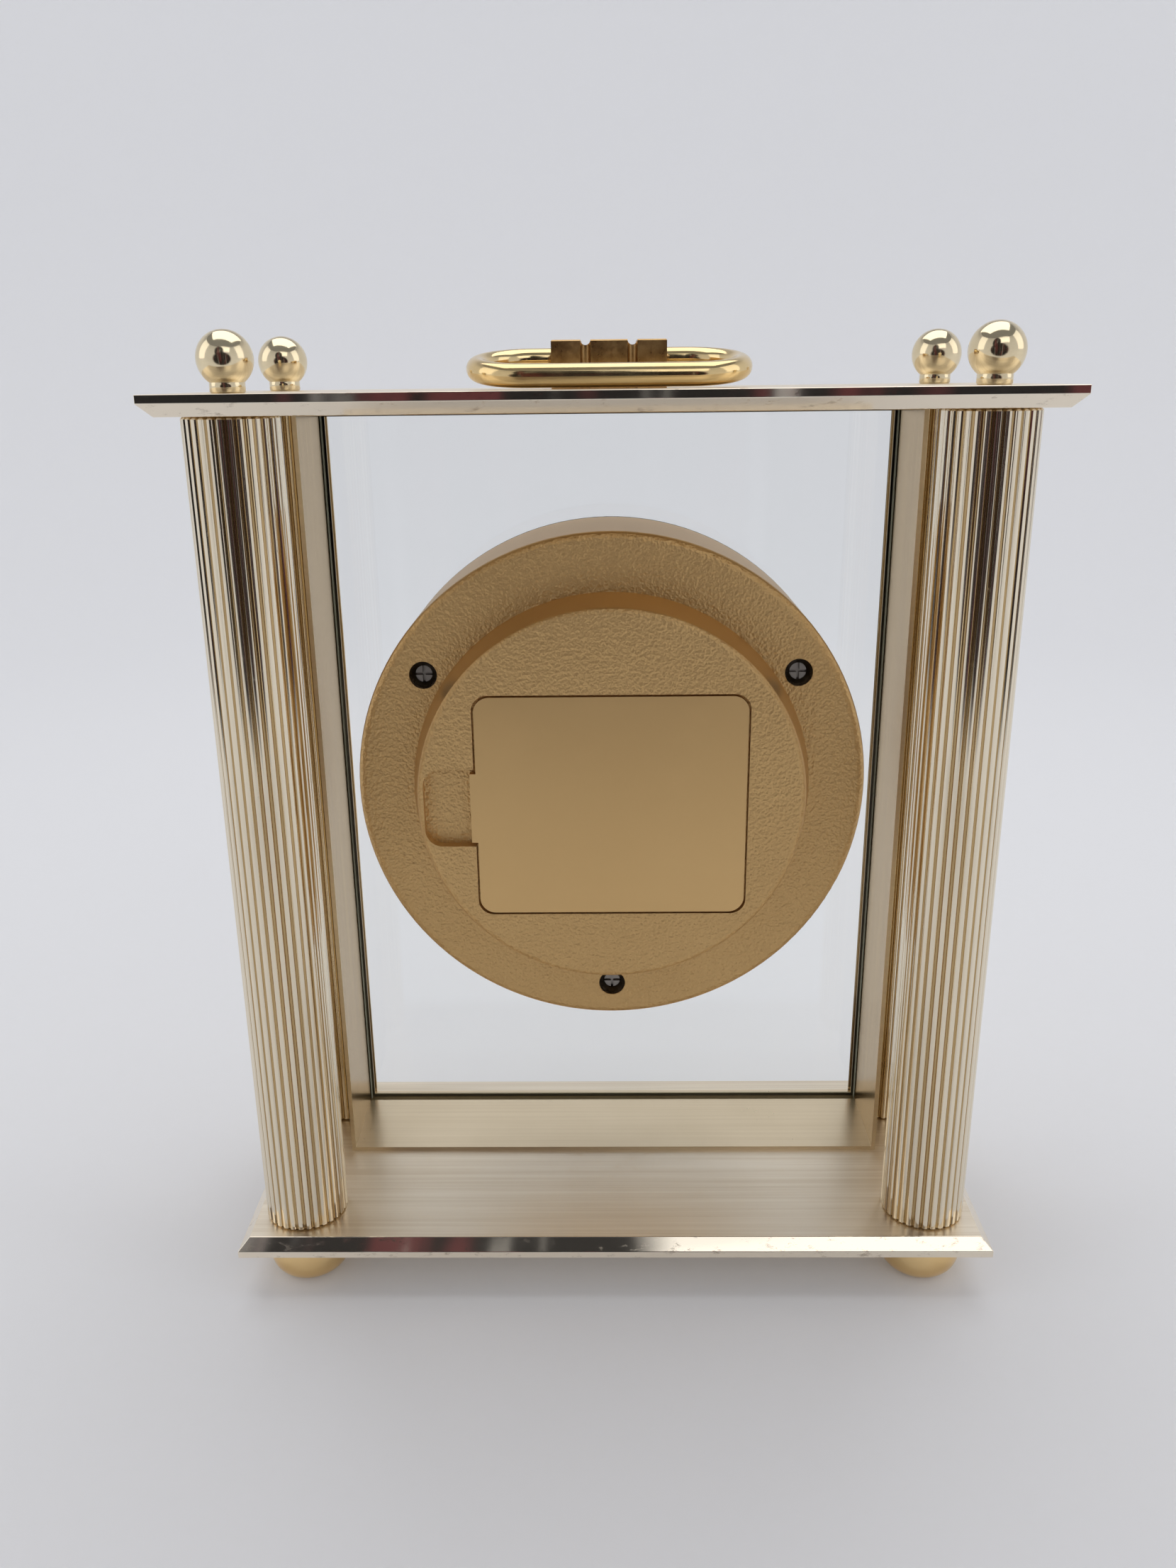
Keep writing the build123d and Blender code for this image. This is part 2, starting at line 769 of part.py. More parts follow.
def movement_front_plate():
    half_x = movement_width / 2
    half_z = movement_height / 2
    body = block(-half_x, half_x, carrier_rear, train_rear, -half_z, half_z)
    room_x = half_x - movement_wall
    room_z = half_z - movement_wall
    body -= block(-room_x, room_x, train_front, train_rear + 1, -room_z, room_z)
    body += rod_y(bush_radius, carrier_rear - bush_length, carrier_rear)
    body -= rod_y(hour_pipe_radius + running_gap, carrier_rear - bush_length - 1, train_front + 1)
    body += rod_y(post_radius, train_front, motion_layer + 1.0, *motion_place)
    for place in stator_posts:
        body += rod_y(1.2, train_front, stator_front, *place)
    for place in (third_place, step_place, rotor_place):
        body -= rod_y(arbor_radius + arbor_gap, train_front - 0.8, train_front + 0.1, *place)
    body -= rod_y(setting_stem + 0.08, train_front - 0.8, train_front + 0.1, *setting_place)
    for place in screw_corners:
        body += rod_y(2.0, train_front, train_rear, *place)
        body -= rod_y(0.9, train_front + 1, train_rear + 1, *place)
    return lift(body)


def movement_back_plate():
    half_x = movement_width / 2
    half_z = movement_height / 2
    body = block(-half_x, half_x, train_rear, movement_rear, -half_z, half_z)
    for place in board_posts:
        body += rod_y(1.2, board_rear, train_rear, *place)
    for place in (third_place, step_place, rotor_place):
        body -= rod_y(arbor_radius + arbor_gap, train_rear - 0.1, train_rear + 0.8, *place)
    body -= rod_y(second_arbor_radius + 0.08, train_rear - 0.1, train_rear + 0.8)
    body -= rod_y(setting_stem + 0.08, train_rear - 1, movement_rear + 1, *setting_place)
    for place in screw_corners:
        body -= rod_y(1.0, train_rear - 1, movement_rear + 1, *place)
    return lift(body)


def movement_screws():
    screws = []
    for place in screw_corners:
        head = rod_y(movement_screw_head, movement_rear, movement_rear + 1.0, *place)
        screws.append(lift(head + rod_y(0.9, train_front + 2, movement_rear, *place)))
    return screws


def stator():
    body = block(leg_left, leg_right, stator_front, stator_rear, 2.0, 24.0)
    body -= block(leg_left + leg_width, leg_right - leg_width, stator_front - 1, stator_rear + 1, 15.5, 25.0)
    body -= rod_y(magnet_radius + 0.5, stator_front - 1, stator_rear + 1, *rotor_place)
    body -= rod_y(2.4, stator_front - 1, stator_rear + 1, *step_place)
    core = block(leg_left, leg_right, core_front, stator_front, coil_z - core_half, coil_z + core_half)
    return lift(body + core)


def coil():
    x0 = leg_left + leg_width + 0.4
    x1 = leg_right - leg_width - 0.4
    middle_y = (core_front + stator_front) / 2

    def drum(radius, a, b):
        return Pos((a + b) / 2, middle_y, coil_z) * Rot(0, 90, 0) * Cylinder(radius, b - a)

    body = drum(2.7, x0, x1) + drum(3.1, x0, x0 + 0.7) + drum(3.1, x1 - 0.7, x1)
    core = block(x0 - 1, x1 + 1, core_front, stator_front, coil_z - core_half, coil_z + core_half)
    return lift(body - core)


def circuit_board():
    return lift(block(4.0, 22.5, board_rear - 1.0, board_rear, -25.0, -9.0))


def quartz_can():
    return lift(rod_y(1.5, board_rear - 5.0, board_rear - 1.0, 17.5, -13.5))


# --- battery bay ---


def rod_x(radius, x0, x1, y, z):
    return Pos((x0 + x1) / 2, y, z) * Rot(0, 90, 0) * Cylinder(radius, x1 - x0)


def battery_cradle():
    inner = cell_length / 2 + contact_room
    outer = inner + cradle_wall
    bore = cell_radius + cell_gap
    rim = bore + cradle_wall
    body = block(-outer, outer, movement_rear, cell_y + 2.5, cell_height - rim, cell_height + rim)
    body -= rod_x(bore, -inner, inner, cell_y, cell_height)
    return lift(body - block(-inner, inner, cell_y, cell_y + 9, cell_height - bore, cell_height + bore))


def battery_cell():
    half = cell_length / 2
    body = rod_x(cell_radius, -half, half - nub_length, cell_y, cell_height)
    body = fillet(body.edges().filter_by(GeomType.CIRCLE), 0.8)
    return lift(body + rod_x(nub_radius, half - nub_length - 1, half, cell_y, cell_height))


def battery_contact(side):
    """A bent leaf: one leg on the cell's end, one on the cradle's end wall."""
    near = side * cell_length / 2
    far = side * (cell_length / 2 + contact_room)
    y0 = cell_y - 5
    y1 = cell_y + 5
    low = cell_height - 5

    def leaf(a, b, z0, z1):
        left, right = sorted((a, b))
        return block(left, right, y0, y1, z0, z1)

    body = leaf(near, near + side * contact_sheet, low, cell_height + 5)
    body += leaf(far, far - side * contact_sheet, low, cell_height + 5)
    return lift(body + leaf(near, far, low, low + contact_sheet))


def corner_name(x, y):
    return ("front" if y < 0 else "rear") + "_" + ("left" if x < 0 else "right")


nodes = {
    "base_plate": base_plate(),
    "top_plate": top_plate(),
    "tie_rods": tie_rods(),
    "handle_block": handle_block(),
    "handle_screws": handle_screws(),
    "handle_loop": handle_loop(),
    "glazing_frame": glazing_frame(),
    "glass_panel": glass_panel(),
    "glass_seal": glass_seal(),
    "movement_case": movement_case(),
    "case_gasket": case_gasket(),
    "case_screws": case_screws(),
    "battery_door": battery_door(),
    "dial_carrier": dial_carrier(),
    "front_gasket": front_gasket(),
    "bezel": bezel(),
    "bezel_screws": bezel_screws(),
    "crystal": crystal(),
    "spacer_ring": spacer_ring(),
    "dial_plate": dial_plate(),
    "hour_markers": hour_markers(),
    "dial_nut": dial_nut(),
    "hour_hand": hour_hand(),
    "minute_hand": minute_hand(),
    "second_hand": second_hand(),
    "hour_wheel": hour_wheel(),
    "minute_wheel": minute_wheel(),
    "motion_wheel": motion_wheel(),
    "third_wheel": third_wheel(),
    "second_wheel": second_wheel(),
    "step_wheel": step_wheel(),
    "rotor": rotor(),
    "setting_arbor": setting_arbor(),
    "setting_knob": setting_knob(),
    "movement_front_plate": movement_front_plate(),
    "movement_back_plate": movement_back_plate(),
    "movement_screws": movement_screws(),
    "stator": stator(),
    "coil": coil(),
    "circuit_board": circuit_board(),
    "quartz_can": quartz_can(),
    "battery_cradle": battery_cradle(),
    "battery_cell": battery_cell(),
    "battery_contact_positive": battery_contact(1),
    "battery_contact_negative": battery_contact(-1),
}
for x, y in corners():
    nodes["column_" + corner_name(x, y)] = column(x, y)
    nodes["finial_" + corner_name(x, y)] = finial(x, y)
    nodes["foot_" + corner_name(x, y)] = foot(x, y)

os.makedirs("parts", exist_ok=True)
for name, shape in nodes.items():
    solids = shape if isinstance(shape, list) else [shape]
    whole = Compound(children=[piece for item in solids for piece in item.solids()])
    export_step(whole, f"parts/{name}.step")
print("nodes", len(nodes), "fold angle", round(fold_angle, 3))
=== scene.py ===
import json
import math
import bpy
from mathutils import Matrix, Vector


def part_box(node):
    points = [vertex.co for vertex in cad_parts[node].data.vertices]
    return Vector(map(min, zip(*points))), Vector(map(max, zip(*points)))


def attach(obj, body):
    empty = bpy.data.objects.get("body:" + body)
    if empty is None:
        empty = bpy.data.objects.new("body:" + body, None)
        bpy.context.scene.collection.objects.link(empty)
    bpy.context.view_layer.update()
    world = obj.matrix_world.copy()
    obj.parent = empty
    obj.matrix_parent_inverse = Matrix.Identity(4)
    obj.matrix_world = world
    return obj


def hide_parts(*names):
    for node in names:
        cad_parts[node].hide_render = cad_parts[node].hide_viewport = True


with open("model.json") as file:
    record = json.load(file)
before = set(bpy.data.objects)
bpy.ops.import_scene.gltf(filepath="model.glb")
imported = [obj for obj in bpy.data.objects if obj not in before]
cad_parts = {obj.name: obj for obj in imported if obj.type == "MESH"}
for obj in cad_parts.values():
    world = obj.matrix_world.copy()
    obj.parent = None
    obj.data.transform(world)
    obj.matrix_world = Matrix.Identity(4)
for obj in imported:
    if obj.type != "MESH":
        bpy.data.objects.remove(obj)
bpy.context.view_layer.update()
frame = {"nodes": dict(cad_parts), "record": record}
scene = bpy.context.scene
mm = 0.001
print("frame loaded:", len(frame["nodes"]), "nodes")


# camera, a little above the clock and close behind it

cameraSet = {"place": (0.00117, 0.27793, 0.21136), "pitch": 18.404, "yaw": 180.893, "roll": -0.648,
             "lens": 28.05, "sensor": 36.0}


def addCamera(s):
    bpy.ops.object.camera_add()
    camera = bpy.context.object
    camera.name = "rearCamera"
    turn = Matrix.Rotation(math.radians(s["yaw"]), 4, "Z")
    turn = turn @ Matrix.Rotation(math.radians(90 - s["pitch"]), 4, "X")
    turn = turn @ Matrix.Rotation(math.radians(s["roll"]), 4, "Z")
    camera.matrix_world = Matrix.Translation(s["place"]) @ turn
    camera.data.sensor_width = s["sensor"]
    camera.data.lens = s["lens"]
    camera.data.clip_start = 0.01
    scene.camera = camera


addCamera(cameraSet)
print("camera placed")


# materials: a wrapped socket does arithmetic, a Finish adds any other node


class Wire:
    def __init__(self, tree, socket):
        self.tree = tree
        self.socket = socket

    def calc(self, operation, first, second):
        node = self.tree.nodes.new("ShaderNodeMath")
        node.operation = operation
        for place, part in enumerate((first, second)):
            if isinstance(part, Wire):
                self.tree.links.new(part.socket, node.inputs[place])
            else:
                node.inputs[place].default_value = part
        return Wire(self.tree, node.outputs[0])

    def __add__(self, other):
        return self.calc("ADD", self, other)

    __radd__ = __add__

    def __sub__(self, other):
        return self.calc("SUBTRACT", self, other)

    def __rsub__(self, other):
        return self.calc("SUBTRACT", other, self)

    def __mul__(self, other):
        return self.calc("MULTIPLY", self, other)

    __rmul__ = __mul__

    def __truediv__(self, other):
        return self.calc("DIVIDE", self, other)

    def __pow__(self, other):
        return self.calc("POWER", self, other)

    def __gt__(self, other):
        return self.calc("GREATER_THAN", self, other)

    def __lt__(self, other):
        return self.calc("LESS_THAN", self, other)


class Finish:
    def __init__(self, name, **fixed):
        self.material = bpy.data.materials.new(name)
        self.material.use_nodes = True
        self.tree = self.material.node_tree
        self.surface = self.tree.nodes["Principled BSDF"]
        for socket, value in fixed.items():
            self.surface.inputs[socket.replace("_", " ")].default_value = value

    def add(self, kind, settings=None, values=None, out=0):
        node = self.tree.nodes.new(kind)
        for key, value in (settings or {}).items():
            if key == "stops":
                self.setStops(node.color_ramp, value)
            else:
                setattr(node, key, value)
        for key, value in (values or {}).items():
            if isinstance(value, Wire):
                self.tree.links.new(value.socket, node.inputs[key])
            else:
                node.inputs[key].default_value = value
        return Wire(self.tree, node.outputs[out])

    def setStops(self, ramp, stops):
        while len(ramp.elements) < len(stops):
            ramp.elements.new(1.0)
        for element, (place, shade) in zip(ramp.elements, stops):
            element.position = place
            element.color = (shade, shade, shade, 1.0)

    def spots(self, stretch=(1, 1, 1)):
        place = self.add("ShaderNodeTexCoord", out="Object")
        return self.add("ShaderNodeMapping", {"vector_type": "POINT"}, {"Vector": place, "Scale": stretch})

    def noise(self, scale, stretch=(1, 1, 1), detail=3.0, rough=0.55):
        return self.add("ShaderNodeTexNoise", values={"Vector": self.spots(stretch), "Scale": scale,
                                                     "Detail": detail, "Roughness": rough})

    def cells(self, scale):
        return self.add("ShaderNodeTexVoronoi", {"feature": "SMOOTH_F1"},
                        {"Vector": self.spots(), "Scale": scale, "Smoothness": 0.6})

    def ramp(self, wire, *stops):
        return self.add("ShaderNodeValToRGB", {"stops": stops}, {0: wire})

    def axis(self, name, normal=False):
        kind, out = ("ShaderNodeNewGeometry", "Normal") if normal else ("ShaderNodeTexCoord", "Object")
        return self.add("ShaderNodeSeparateXYZ", values={0: self.add(kind, out=out)}, out=name)

    def reach(self, name):
        # distance from the middle plane, the same on both sides of the clock
        place = self.axis(name)
        return (place * place) ** 0.5

    def blend(self, factor, first, second):
        return self.add("ShaderNodeMix", {"data_type": "RGBA"}, {0: factor, 6: first, 7: second}, out=2)

    def feed(self, socket, wire):
        self.tree.links.new(wire.socket, self.surface.inputs[socket])

    def bump(self, height, strength, distance):
        self.feed("Normal", self.add("ShaderNodeBump", values={"Height": height, "Strength": strength,
                                                               "Distance": distance}))
        return self


def tint(red, green, blue):
    return (red, green, blue, 1.0)


columnPlace = (76.03 * mm, 23.09 * mm)
columnRadius = 9.77 * mm
# the depth below the rib tops where the painted shade inside each flute begins
fluteShadeStart = 0.30 * mm  # how deep the dark of a flute starts
dialHeight = 120.6 * mm
screwCircle = 50.4 * mm
screwAngles = (32.7, 147.3, 270.0)
# radius of the painted shade in each screw funnel
wellShadeRadius = 3.12 * mm


def brushedPlate():
    # the flat faces are brushed along the width, the edges and bevels are polished
    f = Finish("brushedPlate", Metallic=1.0)
    up = f.axis("Z", normal=True)
    flat = up * up > 0.9
    streak = f.noise(1.0, (16, 1500, 1500), 3.0) * 0.5 + f.noise(1.0, (9, 520, 520), 3.0) * 0.5
    cloud = f.noise(22.0, (0.6, 1, 1), 2.0)
    smudge = f.ramp(f.noise(48.0, (1, 1, 1), 5.0, 0.65), (0.45, 0.0), (0.7, 1.0))
    speck = f.ramp(f.noise(520.0, (0.5, 1, 1), 5.0, 0.75), (0.58, 0.0), (0.7, 1.0))
    brushed = f.ramp(streak, (0.36, 0.0), (0.62, 1.0)) * 0.6 + cloud * 0.4
    gold = f.blend(brushed, tint(0.78, 0.66, 0.50), tint(1.0, 0.91, 0.76))
    edge = f.blend(speck * 0.7, tint(0.90, 0.81, 0.67), tint(0.40, 0.32, 0.24))
    f.feed("Base Color", f.blend(flat, edge, gold))
    f.feed("Roughness", flat * (0.24 + streak * 0.14 + smudge * 0.06) + 0.05 + speck * 0.15)
    return f.bump(streak * flat + speck * 0.2, 0.12, 0.00004).material


def brightColumn():
    f = Finish("brightColumn", Metallic=1.0)
    streak = f.noise(1.0, (1500, 1500, 6), 3.0)
    cloud = f.noise(18.0, (1, 1, 0.35), 3.0)
    speck = f.ramp(f.noise(420.0, (1, 1, 0.35), 5.0, 0.75), (0.62, 0.0), (0.72, 1.0))
    side = f.reach("X") - columnPlace[0]
    deep = f.reach("Y") - columnPlace[1]
    radius = (side * side + deep * deep) ** 0.5
    # painted shade: the flutes get a darker gold than the ribs, standing in for the shade and mirrored gold
    # inside them
    flute = radius < columnRadius - fluteShadeStart
    rib = f.blend(streak * 0.5 + cloud * 0.4, tint(0.78, 0.68, 0.51), tint(0.95, 0.86, 0.70))
    paintedFluteShade = f.blend(streak, tint(0.40, 0.27, 0.12), tint(0.60, 0.43, 0.22))
    f.feed("Base Color", f.blend(flute, rib, paintedFluteShade))
    f.feed("Roughness", 0.05 + cloud * 0.05 + streak * 0.04 + speck * 0.15 + flute * 0.06)
    return f.bump(streak + speck * 0.1, 0.25, 0.00012).material


def polishedBrass(name, shade, low, rough=0.07):
    f = Finish(name, Metallic=1.0)
    cloud = f.noise(60.0, (1, 1, 1), 4.0, 0.6)
    rub = f.ramp(f.noise(170.0, (1, 1, 1), 6.0, 0.7), (0.42, 0.0), (0.72, 1.0))
    scratch = f.noise(1.0, (1600, 260, 260), 2.0)
    f.feed("Base Color", f.blend(cloud, tint(*low), tint(*shade)))
    f.feed("Roughness", rough + rub * 0.11 + cloud * 0.05)
    return f.bump(scratch * 0.6 + rub * 0.4, 0.05, 0.00003).material


def frameBrass():
    # the sides get a darker gold as painted shade, with upright streaks, the floor is brushed along the width
    f = Finish("frameBrass", Metallic=1.0)
    across = f.axis("X", normal=True)
    side = across * across > 0.5
    upright = f.noise(1.0, (900, 700, 8), 4.0)
    wave = f.noise(34.0, (1, 1, 0.12), 3.0)
    brushed = f.noise(1.0, (12, 1100, 1100), 3.0)
    # painted shade: the upright side walls are coloured darker than the floor of the same brass
    wall = f.blend(upright * 0.6 + wave * 0.4, tint(0.30, 0.19, 0.07), tint(0.64, 0.46, 0.22))
    floor = f.blend(brushed * 0.6 + wave * 0.4, tint(0.72, 0.58, 0.38), tint(1.0, 0.86, 0.64))
    f.feed("Base Color", f.blend(side, floor, wall))
    f.feed("Roughness", 0.16 + upright * 0.10 + wave * 0.06 + (1 - side) * 0.06)
    return f.bump(upright * side * 0.6 + brushed * (1 - side) * 0.4 + wave * 0.5, 0.14, 0.00012).material


def blockBrass():
    f = Finish("blockBrass", Metallic=1.0)
    grain = f.noise(1.0, (2300, 2300, 420), 4.0)
    stain = f.ramp(f.noise(240.0, (1, 1, 1), 6.0, 0.7), (0.40, 0.0), (0.66, 1.0))
    f.feed("Base Color", f.blend(stain * 0.6 + grain * 0.3, tint(0.42, 0.25, 0.10), tint(0.66, 0.46, 0.22)))
    f.feed("Roughness", 0.24 + stain * 0.12 + grain * 0.08)
    return f.bump(grain, 0.10, 0.00005).material


def clearGlass():
    # clear through its flat faces, ground and green-grey on its cut edges
    f = Finish("clearGlass", IOR=1.46, Transmission_Weight=1.0)
    haze = f.noise(30.0, (1, 1, 1), 3.0)
    f.feed("Base Color", f.blend(haze, tint(0.975, 0.993, 0.987), tint(0.99, 0.998, 0.995)))
    f.feed("Roughness", 0.004 + haze * 0.004)
    facing = f.axis("Y", normal=True)
    ground = f.add("ShaderNodeBsdfDiffuse", values={"Color": tint(0.42, 0.42, 0.31)})
    mixed = f.add("ShaderNodeMixShader", values={0: facing * facing < 0.3})
    f.tree.links.new(f.surface.outputs[0], mixed.socket.node.inputs[1])
    f.tree.links.new(ground.socket, mixed.socket.node.inputs[2])
    f.tree.links.new(mixed.socket, f.tree.nodes["Material Output"].inputs["Surface"])
    return f.material


def screwWellShade(f):
    # 1 inside the funnels round the three case screws, where the case is painted near black as painted shade
    wellShade = 0.0
    for angle in screwAngles:
        side = f.axis("X") - screwCircle * math.cos(math.radians(angle))
        rise = f.axis("Z") - (dialHeight + screwCircle * math.sin(math.radians(angle)))
        wellShade = wellShade + ((side * side + rise * rise) < wellShadeRadius * wellShadeRadius)
    return wellShade


def caseGold():
    f = Finish("caseGold", Metallic=0.9)
    facing = f.axis("Y", normal=True) > 0.62
    wellShade = screwWellShade(f)
    pebble = f.cells(1200.0) * 0.65 + f.cells(2200.0) * 0.35
    fine = f.noise(2600.0, (1, 1, 1), 3.0)
    cloud = f.noise(26.0, (1, 1, 1), 3.0)
    paint = f.blend(cloud * 0.6 + fine * 0.25, tint(0.60, 0.385, 0.165), tint(0.75, 0.505, 0.225))
    # painted shade: the case colour turns near black inside the screw funnels
    f.feed("Base Color", f.blend(wellShade, paint, tint(0.05, 0.036, 0.022)))
    f.feed("Roughness", 0.34 + fine * 0.10 + facing * 0.06)
    return f.bump((pebble + fine * 0.25) * facing + fine * 0.05, 0.7, 0.0004).material


def doorGold():
    f = Finish("doorGold", Metallic=0.9)
    fine = f.noise(3200.0, (1, 1, 1), 2.0)
    cloud = f.noise(20.0, (1, 1, 1), 3.0)
    rub = f.ramp(f.noise(75.0, (1, 1, 1), 6.0, 0.7), (0.5, 0.0), (0.8, 1.0))
    f.feed("Base Color", f.blend(cloud * 0.7 + rub * 0.15, tint(0.70, 0.46, 0.20), tint(0.83, 0.565, 0.26)))
    f.feed("Roughness", 0.34 + fine * 0.08 + rub * 0.06)
    return f.bump(fine, 0.18, 0.00005).material


def dullBlack(name, dark=(0.016, 0.016, 0.017), light=(0.04, 0.038, 0.036), rough=0.5, metal=0.0):
    f = Finish(name, Metallic=metal)
    grain = f.noise(1400.0, (1, 1, 1), 3.0)
    cloud = f.noise(90.0, (1, 1, 1), 3.0)
    f.feed("Base Color", f.blend(cloud, tint(*dark), tint(*light)))
    f.feed("Roughness", rough + grain * 0.12)
    return f.bump(grain, 0.15, 0.00005).material


def nickelSteel():
    f = Finish("nickelSteel", Metallic=1.0)
    grain = f.noise(1.0, (1800, 1800, 300), 3.0)
    f.feed("Base Color", f.blend(grain, tint(0.46, 0.45, 0.43), tint(0.68, 0.67, 0.64)))
    f.feed("Roughness", 0.24 + grain * 0.14)
    return f.bump(grain, 0.08, 0.00004).material


def plainPlastic(name, dark, light, rough=0.38):
    f = Finish(name)
    grain = f.noise(1800.0, (1, 1, 1), 3.0)
    cloud = f.noise(70.0, (1, 1, 1), 2.0)
    f.feed("Base Color", f.blend(cloud, tint(*dark), tint(*light)))
    f.feed("Roughness", rough + grain * 0.12)
    return f.bump(grain, 0.10, 0.00004).material


def copperWinding():
    f = Finish("copperWinding", Metallic=0.8)
    turns = f.add("ShaderNodeTexWave", {"wave_type": "BANDS", "bands_direction": "X"},
                  {"Vector": f.spots(), "Scale": 1600.0, "Distortion": 0.4})
    f.feed("Base Color", f.blend(turns, tint(0.34, 0.11, 0.04), tint(0.72, 0.32, 0.12)))
    f.feed("Roughness", 0.26 + turns * 0.1)
    return f.bump(turns, 0.5, 0.00008).material


finishes = {
    "plate_gold": brushedPlate(),
    "column_gold": brightColumn(),
    "polished_brass": polishedBrass("polishedBrass", (0.90, 0.72, 0.40), (0.78, 0.56, 0.26)),
    "frame_brass": frameBrass(),
    "steel": nickelSteel(),
    "case_screw_black": dullBlack("screwBlack", (0.20, 0.18, 0.155), (0.34, 0.31, 0.28), 0.3, 0.8),
    "glass": clearGlass(),
    "seal_black": dullBlack("sealBlack"),
    "case_gold_paint": caseGold(),
    "bezel_brass": polishedBrass("bezelBrass", (0.86, 0.66, 0.34), (0.76, 0.54, 0.24), 0.10),
    "dial_white": plainPlastic("dialIvory", (0.80, 0.77, 0.68), (0.87, 0.84, 0.76), 0.45),
    "marker_black": dullBlack("markerBlack", rough=0.3),
    "hand_black": dullBlack("handBlack", rough=0.25),
    "carrier_black": dullBlack("carrierBlack"),
    "movement_plastic": plainPlastic("movementGrey", (0.07, 0.07, 0.068), (0.11, 0.11, 0.105)),
    "wheel_plastic": plainPlastic("wheelIvory", (0.72, 0.70, 0.62), (0.82, 0.80, 0.72), 0.3),
    "wheel_brass": polishedBrass("wheelBrass", (0.84, 0.64, 0.30), (0.70, 0.50, 0.20), 0.2),
    "copper_coil": copperWinding(),
    "board_green": plainPlastic("boardGreen", (0.02, 0.10, 0.04), (0.04, 0.16, 0.07), 0.3),
    "cell_jacket": plainPlastic("cellJacket", (0.03, 0.035, 0.05), (0.06, 0.065, 0.08), 0.25),
}
ownFinish = {"battery_door": doorGold(), "handle_block": blockBrass(),
             "glass_seal": plainPlastic("sealAmber", (0.30, 0.24, 0.13), (0.40, 0.33, 0.19), 0.4)}
paleBrass = polishedBrass("paleBrass", (0.90, 0.79, 0.56), (0.76, 0.62, 0.38), 0.05)
footBrass = polishedBrass("footBrass", (0.90, 0.68, 0.36), (0.80, 0.54, 0.24), 0.08)
slotOf = {row["node"]: row["material_slot"] for row in frame["record"]["subparts"]}


def dress(piece, material):
    piece.data.materials.clear()
    piece.data.materials.append(material)


for node, piece in frame["nodes"].items():
    dress(piece, ownFinish.get(node, finishes[slotOf[node]]))
for pane in ("glass_panel", "crystal"):
    frame["nodes"][pane].visible_shadow = False  # lamps reach what is behind the glass
print("materials on", len(frame["nodes"]), "nodes")


# modelling helpers


def sizeOf(node):
    low, high = (Vector(corner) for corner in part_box(node))
    return low, high, high - low, (low + high) / 2


def deselect():
    if bpy.context.object and bpy.context.object.mode == "EDIT":
        bpy.ops.object.mode_set(mode="OBJECT")
    bpy.ops.object.select_all(action="DESELECT")


def named(name):
    piece = bpy.context.object
    piece.name = name
    piece.data.name = name
    bpy.ops.object.transform_apply(location=True, rotation=True, scale=True)
    return piece


def pick(piece, kind, test):
    # leaves the piece in edit mode with only the tested parts selected
    bpy.context.view_layer.objects.active = piece
    bpy.ops.object.mode_set(mode="EDIT")
    bpy.ops.mesh.select_mode(type=kind)
    bpy.ops.mesh.select_all(action="DESELECT")
    bpy.ops.object.mode_set(mode="OBJECT")
    parts = {"VERT": piece.data.vertices, "EDGE": piece.data.edges, "FACE": piece.data.polygons}[kind]
    for part in parts:
        part.select = test(part)
    bpy.ops.object.mode_set(mode="EDIT")


def soften(piece, width, segments=3, angle=30.0):
    deselect()
    piece.select_set(True)
    bpy.context.view_layer.objects.active = piece
    bevel = piece.modifiers.new("softEdges", "BEVEL")
    bevel.width = width
    bevel.segments = segments
    bevel.angle_limit = math.radians(angle)
    bpy.ops.object.modifier_apply(modifier=bevel.name)
    bpy.ops.object.shade_smooth_by_angle(angle=math.radians(angle))
    return piece


def turned(name, place, profile, steps=64):
    # rises ring by ring from the first (radius, height) to the last
    deselect()
    radius, height = profile[0]
    x, y, z = place
    bpy.ops.mesh.primitive_circle_add(vertices=steps, radius=radius, fill_type="NGON",
                                      location=(x, y, z + height))
    piece = named(name)
    bpy.ops.object.mode_set(mode="EDIT")
    bpy.ops.mesh.select_all(action="SELECT")
    bpy.ops.mesh.flip_normals()
    for nextRadius, nextHeight in profile[1:]:
        factor = nextRadius / radius
        bpy.ops.mesh.extrude_region_move(TRANSFORM_OT_translate={"value": (0, 0, nextHeight - height)})
        bpy.ops.transform.resize(value=(factor, factor, 1), center_override=(x, y, z + nextHeight))
        radius, height = nextRadius, nextHeight
    bpy.ops.object.mode_set(mode="OBJECT")
    return piece


def copied(piece, name, shift):
    # a copy with its own mesh
    deselect()
    piece.select_set(True)
    bpy.context.view_layer.objects.active = piece
    bpy.ops.object.duplicate(linked=False)
    bpy.context.object.location = shift
    return named(name)


def settle(piece, body, slotName, *nodes, material=None):
    dress(piece, material or finishes[slotName])
    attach(piece, body)
    if nodes:
        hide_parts(*nodes)
    return piece


# stage and light

stageSet = {"floor": 0.75, "bend": 0.45, "wall": 0.9, "round": 96, "steps": 10, "shade": 0.80, "glow": 0.07}


